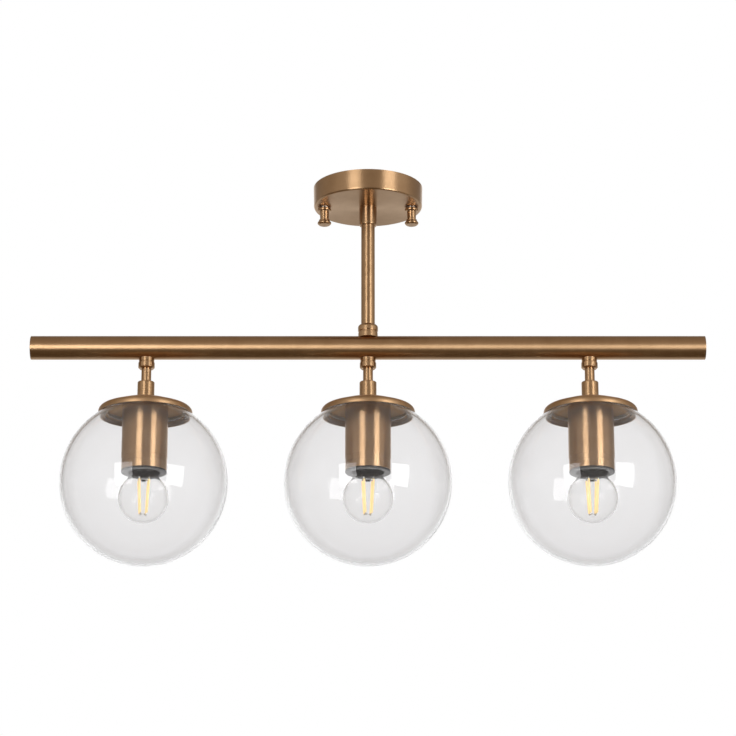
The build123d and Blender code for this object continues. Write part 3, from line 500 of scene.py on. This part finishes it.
for side, place in DROP_PLACES.items():
    dress(black_moulding, f"{side}_lampholder")
    place_x = place / MILLIMETRE
    # The shell's thread keeps step with the lamp's and stands 0.65 mm or more outside it.
    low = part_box("holder_shells")[0][2] / MILLIMETRE
    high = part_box(f"{side}_bulb_base")[1][2] / MILLIMETRE + FLOOR_GAP
    shoulder, lip = high - SHELL_SHOULDER, low + SHELL_LIP
    profile = np.vstack((
        run((SHELL_HOLE, high), (SHELL_HOLE, high - SHELL_WALL), 1),
        run((SHELL_HOLE, high - SHELL_WALL), (SHELL_INNER, high - SHELL_WALL), 4),
        run((SHELL_INNER, high - SHELL_WALL), (SHELL_INNER, shoulder), 3),
        run((SHELL_INNER, shoulder), (SHELL_INNER, lip), 90, 1.0),
        run((SHELL_INNER, lip), (SHELL_INNER, low), 3, 0.3),
        run((SHELL_INNER, low), (SHELL_OUTER, low), 1),
        run((SHELL_OUTER, low), (SHELL_OUTER, lip), 3, 0.3),
        run((SHELL_OUTER, lip), (SHELL_OUTER, shoulder), 90, 1.0),
        run((SHELL_OUTER, shoulder), (SHELL_OUTER, high), 3),
        run((SHELL_OUTER, high), (SHELL_HOLE, high), 4),
    ))
    grid = turned(profile, 72, place_x, SCREW_PITCH, SHELL_THREAD)
    mesh = soften(grid_mesh("holder_screw", [grid], close_u=True, close_v=True))
    holder_shell = put(f"{side}_holder_screw", mesh, plain_brass)

    # The tab is a flat upright strip: the four corners of its section, low and high.
    section_x = place_x + TAB_HALF_WIDTH * np.array((-1, 1, 1, -1))
    section_y = np.array((TAB_BACK, TAB_BACK, TAB_FRONT, TAB_FRONT))
    section_z = np.array((high - SHELL_WALL, high + TAB_TOP))[:, None]
    tab = np.stack(np.broadcast_arrays(section_x, section_y, section_z), axis=-1) * MILLIMETRE
    mesh = grid_mesh("holder_tab", [tab], close_v=True, caps=True)
    holder_tab = put(f"{side}_holder_tab", mesh, plain_brass)
    for piece in (holder_shell, holder_tab):
        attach(piece, "fixture")
        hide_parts("holder_shells")
dress(plain_brass, "centre_contacts")


# Globes: mouth-blown balls of clear glass with a short neck, cut and fire-polished at its mouth.
# The neck is held in the saucer's lip against a pale ring of silicone rubber.
def clear_glass(name, tint, bend, clear):
    """Clear glass with faint blown waves, and a thin haze for what it doesn't let through."""
    material, tree, output = new_material(name)
    coordinates = add(tree, "ShaderNodeTexCoord").outputs["Object"]
    waves = add(tree, "ShaderNodeTexNoise", Vector=coordinates, Scale=14.0, Detail=1.0)
    relief = add(tree, "ShaderNodeBump", Strength=0.02, Distance=0.001, Height=waves.outputs[0])
    glass = add(tree, "ShaderNodeBsdfPrincipled", Base_Color=(*tint, 1.0), Roughness=0.0,
                IOR=bend, Transmission_Weight=clear, Normal=relief.outputs[0])
    tree.links.new(glass.outputs[0], output.inputs[0])
    return material


globe_glass = clear_glass("globe_glass", (0.952, 0.949, 0.953), bend=1.3, clear=0.972)
for side in DROP_PLACES:
    dress(globe_glass, f"{side}_globe")
dress(moulding("soft_ring", (0.62, 0.61, 0.58), roughness=0.5), "globe_gaskets")

# Lamps: clear golf-ball lamps. Four yellow sticks stand on fine wires round a glass stem, above a
# nickelled shell with a rolled screw thread, a black glass insulator and a soldered contact.
lamp_glass = clear_glass("lamp_glass", (0.998, 0.998, 0.996), bend=1.2, clear=1.0)
nickel = plated_steel("nickel", (0.74, 0.73, 0.70), roughness=0.2)
solder = plated_steel("solder", (0.55, 0.56, 0.58), roughness=0.4)
black_glass = moulding("black_glass", (0.01, 0.01, 0.012), roughness=0.08)
# The stick coat glows in its own colour. This is painted light for the studio light that the lamp
# and globe glass keep off the sticks; the lamp itself is unlit.
stick_coat_painted_glow = moulding("stick_coat_painted_glow", (0.95, 0.74, 0.36), roughness=0.45, glow=0.72)
SCREW_THREAD = 0.95
SCREW_OUTER, SCREW_INNER, SCREW_LEAD = 13.1, 12.7, 0.6
SCREW_STARTS, SCREW_ENDS = 4.9, 20.0
CONE_OUTER, CONE_OUTER_RISE = 10.3, 2.0
CONE_INNER, CONE_INNER_RISE, CONE_THICKNESS = 10.0, 1.6, 0.3
BUTTON_FOOT, BUTTON_EDGE, BUTTON_EDGE_RISE = 10.0, 10.2, 1.9
BUTTON_SHOULDER, BUTTON_SHOULDER_RISE = 8.6, 4.1
BUTTON_NOSE, BUTTON_NOSE_DROP = 5.2, 0.85
BUTTON_FACE, BUTTON_FACE_DROP = 4.8, 0.8
CONTACT_RADIUS, CONTACT_RIM, CONTACT_HEIGHT = 4.7, 1.0, 0.8
STICKS, STICK_TURN = 4, 55.0
STICK_REACH_TOP, STICK_REACH_LOW, STICK_ENDS = 6.3, 4.0, 0.2
STICK_COAT = ((0.045, 0.45), (0.05, 0.8), (0.06, 0.95), (0.94, 0.95), (0.95, 0.8), (0.955, 0.45))
STICK_TOP_TIP = ((0.0, 0.42), (0.03, 0.42), (0.075, 0.42))
STICK_LOW_TIP = ((0.925, 0.42), (0.97, 0.42), (1.0, 0.42))
WIRE = ((0.0, 0.3), (1.0, 0.3))
WIRE_INSET = 0.9
WIRE_TOP, WIRE_LOW = (2.4, 6.25), (1.1, 4.05)


def rods(starts, ends, stations):
    """Straight round rods in millimetres: each station (share, radius) is a ring at that share
    of the rod's length, start + share * along + radius * (cos * one way + sin * the other)."""
    stations = np.asarray(stations)
    along = ends - starts
    one_way = np.cross(along, (0.3, 0.9, 0.1))
    one_way /= np.linalg.norm(one_way, axis=1, keepdims=True)
    other_way = np.cross(along, one_way)
    other_way /= np.linalg.norm(other_way, axis=1, keepdims=True)
    angle = np.linspace(0.0, 2 * np.pi, 12, endpoint=False)[None, None, :, None]
    share, radius = (column[None, :, None, None] for column in stations.T)
    ring = np.cos(angle) * one_way[:, None, None] + np.sin(angle) * other_way[:, None, None]
    points = starts[:, None, None] + share * along[:, None, None] + radius * ring
    return list(points * MILLIMETRE)


for side, place in DROP_PLACES.items():
    dress(lamp_glass, f"{side}_bulb_glass", f"{side}_bulb_stem")
    place_x = place / MILLIMETRE

    # Pressed shell: a thin wall with its thread rolled in, drawn in to a cone at the top.
    low, high = (corner[2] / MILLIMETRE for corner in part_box(f"{side}_bulb_base"))
    start, end = low + SCREW_STARTS, low + SCREW_ENDS
    profile = np.vstack((
        run((SCREW_INNER, low), (SCREW_OUTER, low), 1),
        run((SCREW_OUTER, low), (SCREW_OUTER, start), 3),
        run((SCREW_OUTER, start), (SCREW_OUTER, start + SCREW_LEAD), 4, 0.5),
        run((SCREW_OUTER, start + SCREW_LEAD), (SCREW_OUTER, end - SCREW_LEAD), 60, 1.0),
        run((SCREW_OUTER, end - SCREW_LEAD), (SCREW_OUTER, end), 4, 0.4),
        run((SCREW_OUTER, end), (CONE_OUTER, end + CONE_OUTER_RISE), 4),
        run((CONE_OUTER, end + CONE_OUTER_RISE), (CONE_INNER, end + CONE_INNER_RISE), 1),
        run((CONE_INNER, end + CONE_INNER_RISE), (SCREW_INNER, end - CONE_THICKNESS), 4),
        run((SCREW_INNER, end - CONE_THICKNESS), (SCREW_INNER, end - SCREW_LEAD), 2, 0.4),
        run((SCREW_INNER, end - SCREW_LEAD), (SCREW_INNER, start + SCREW_LEAD), 60, 1.0),
        run((SCREW_INNER, start + SCREW_LEAD), (SCREW_INNER, start), 4, 0.5),
        run((SCREW_INNER, start), (SCREW_INNER, low), 3),
    ))
    grid = turned(profile, 72, place_x, SCREW_PITCH, SCREW_THREAD)
    mesh = soften(grid_mesh("lamp_screw", [grid], close_u=True, close_v=True))
    shell = put(f"{side}_lamp_screw", mesh, nickel)

    # Insulator: a black glass button that fills the cone's mouth.
    profile = np.vstack((
        run((BUTTON_FOOT, end), (BUTTON_EDGE, end + BUTTON_EDGE_RISE), 3),
        run((BUTTON_EDGE, end + BUTTON_EDGE_RISE),
            (BUTTON_SHOULDER, end + BUTTON_SHOULDER_RISE), 5),
        run((BUTTON_SHOULDER, end + BUTTON_SHOULDER_RISE),
            (BUTTON_NOSE, high - BUTTON_NOSE_DROP), 6),
        run((BUTTON_FACE, high - BUTTON_FACE_DROP), (BUTTON_FACE, high - BUTTON_FACE_DROP), 1),
    ))
    button = turned(profile, 48, place_x)
    mesh = soften(grid_mesh("lamp_insulator", [button], close_v=True, caps=True))
    insulator = put(f"{side}_lamp_insulator", mesh, black_glass)

    # Contact: a flat dome of solder. Its radius falls as the cosine and its height grows as the
    # sine of one quarter turn.
    swell = np.linspace(0.0, np.pi / 2, 9)[:-1]
    dome_radius = CONTACT_RIM + (CONTACT_RADIUS - CONTACT_RIM) * np.cos(swell)
    dome_height = high - CONTACT_HEIGHT + CONTACT_HEIGHT * np.sin(swell)
    profile = np.column_stack((dome_radius, dome_height, 0 * swell))
    dome = turned(profile, 36, place_x)
    mesh = soften(grid_mesh("lamp_contact", [dome], close_v=True, caps=True))
    contact = put(f"{side}_lamp_contact", mesh, solder)
    for piece in (shell, insulator, contact):
        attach(piece, f"{side}_bulb")
        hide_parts(f"{side}_bulb_base")

    # Sticks: coated rods that lean outwards to the top, with bare metal tips. One wire holds
    # each tip, and reaches it from the glass stem.
    low, high = (corner[2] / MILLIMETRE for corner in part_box(f"{side}_bulb_filaments"))
    turns = np.radians(STICK_TURN + np.arange(STICKS) * 360 / STICKS)
    ways = np.column_stack((np.cos(turns), np.sin(turns), 0 * turns))
    centre = np.array((place_x, 0.0, 0.0))
    upper = centre + ways * STICK_REACH_TOP + (0, 0, high - STICK_ENDS)
    lower = centre + ways * STICK_REACH_LOW + (0, 0, low + STICK_ENDS)
    coated = rods(upper, lower, STICK_COAT)
    mesh = soften(grid_mesh("filament_sticks", coated, close_v=True, caps=True))
    sticks = put(f"{side}_filament_sticks", mesh, stick_coat_painted_glow)
    bare = rods(upper, lower, STICK_TOP_TIP) + rods(upper, lower, STICK_LOW_TIP)
    for reach, wire_height in ((WIRE_TOP, high - WIRE_INSET), (WIRE_LOW, low + WIRE_INSET)):
        level = centre + (0, 0, wire_height)
        bare += rods(level + ways * reach[0], level + ways * reach[1], WIRE)
    mesh = soften(grid_mesh("filament_wires", bare, close_v=True, caps=True))
    wires = put(f"{side}_filament_wires", mesh, nickel)
    for piece in (sticks, wires):
        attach(piece, f"{side}_bulb")
        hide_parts(f"{side}_bulb_filaments")
